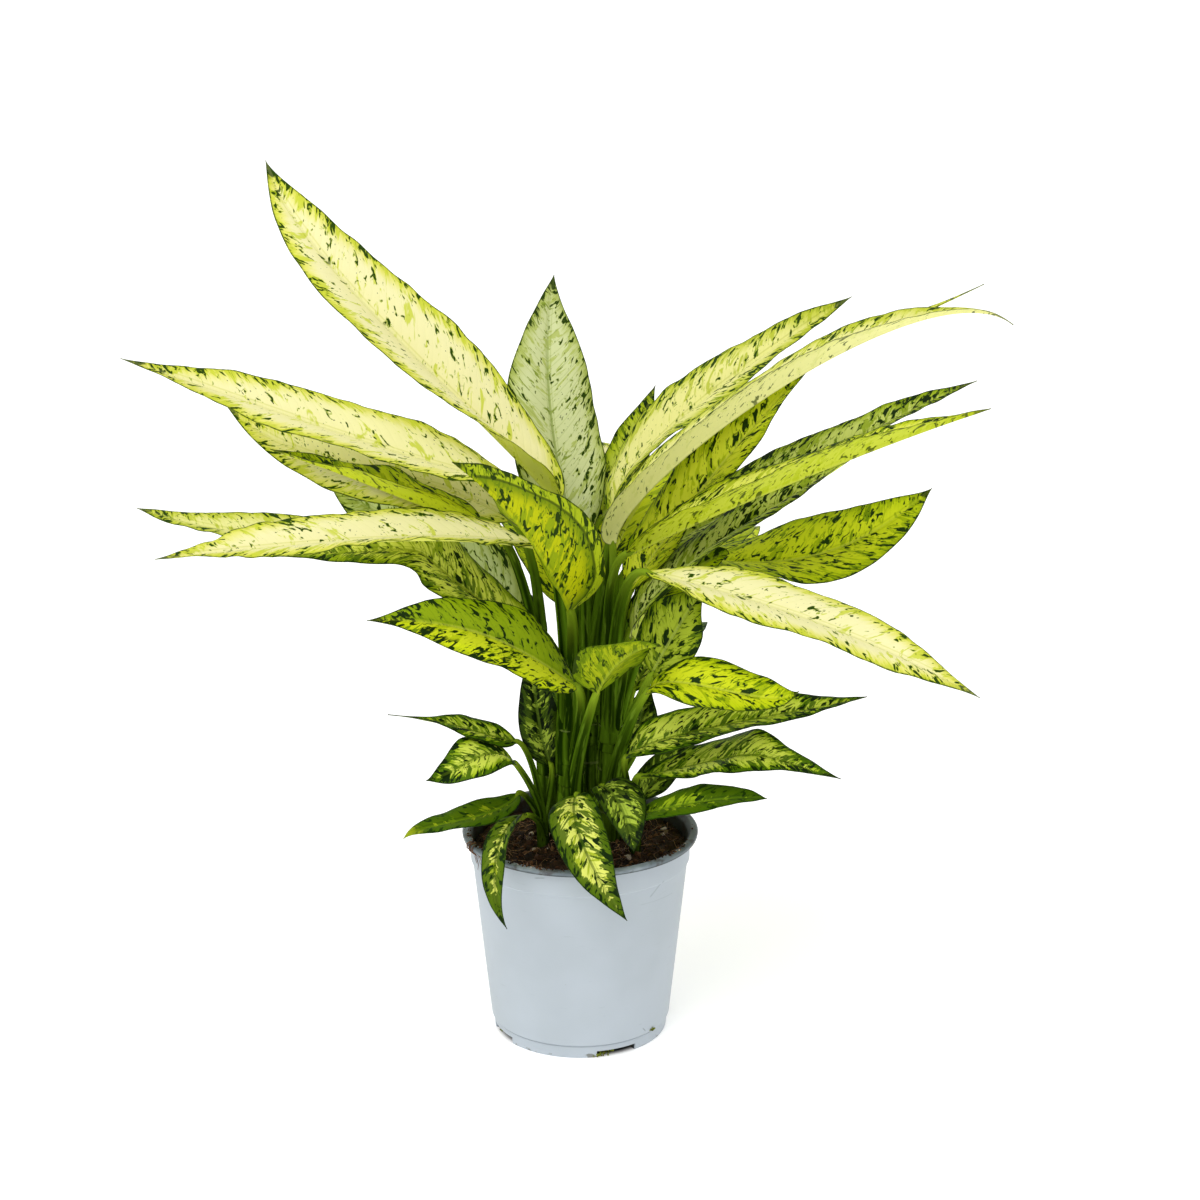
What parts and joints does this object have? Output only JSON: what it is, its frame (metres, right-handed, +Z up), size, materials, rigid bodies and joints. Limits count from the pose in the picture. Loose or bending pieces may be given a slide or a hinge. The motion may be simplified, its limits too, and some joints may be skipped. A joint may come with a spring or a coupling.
{
  "type": "potted plant",
  "caption": "Leafy variegated dieffenbachia in a round nursery pot: lance-shaped folded blades on long stalks rise from upright canes set in soil.",
  "frame": {"origin": "centre of the flat pad under the pot", "axes": "+Z up along the pot's axis, -Y towards the side that the picture shows"},
  "size_m": [0.6154, 0.3932, 0.6312],
  "materials": {
    "pot": "satin moulded plastic",
    "soil": "loose dark compost",
    "stem": "smooth waxy stalk",
    "leaf_pale": "semi-gloss leaf, cream with green flecks",
    "leaf_green": "semi-gloss leaf, lime with green margin"
  },
  "bodies": {
    "root": {"pot": "pot", "soil": "soil", "shoot_front": "stem", "shoot_right": "stem", "shoot_left": "stem", "shoot_back": "stem", "shoot_basal_left": "stem", "shoot_basal_front": "stem", "shoot_basal_right": "stem", "shoot_basal_back": "stem", "leaf_01": "leaf_pale", "leaf_02": "leaf_pale", "leaf_03": "leaf_pale", "leaf_04": "leaf_pale", "leaf_05": "leaf_green", "leaf_06": "leaf_pale", "leaf_07": "leaf_green", "leaf_08": "leaf_green", "leaf_09": "leaf_green", "leaf_10": "leaf_pale", "leaf_11": "leaf_pale", "leaf_12": "leaf_green", "leaf_13": "leaf_pale", "leaf_14": "leaf_pale", "leaf_15": "leaf_pale", "leaf_16": "leaf_green", "leaf_17": "leaf_pale", "leaf_18": "leaf_pale", "leaf_19": "leaf_green", "leaf_20": "leaf_green", "leaf_21": "leaf_pale", "leaf_22": "leaf_pale", "leaf_23": "leaf_green", "leaf_24": "leaf_green", "leaf_25": "leaf_green", "leaf_26": "leaf_green", "leaf_27": "leaf_green", "leaf_28": "leaf_green", "leaf_29": "leaf_green", "leaf_30": "leaf_green", "leaf_31": "leaf_green", "leaf_32": "leaf_green", "leaf_33": "leaf_green", "leaf_34": "leaf_green", "leaf_35": "leaf_green", "leaf_36": "leaf_green", "leaf_37": "leaf_green", "leaf_38": "leaf_green", "leaf_39": "leaf_green", "leaf_40": "leaf_pale", "leaf_41": "leaf_green", "leaf_42": "leaf_green", "leaf_43": "leaf_green", "leaf_44": "leaf_green", "leaf_45": "leaf_green", "leaf_46": "leaf_green"}
  },
  "joints": []
}
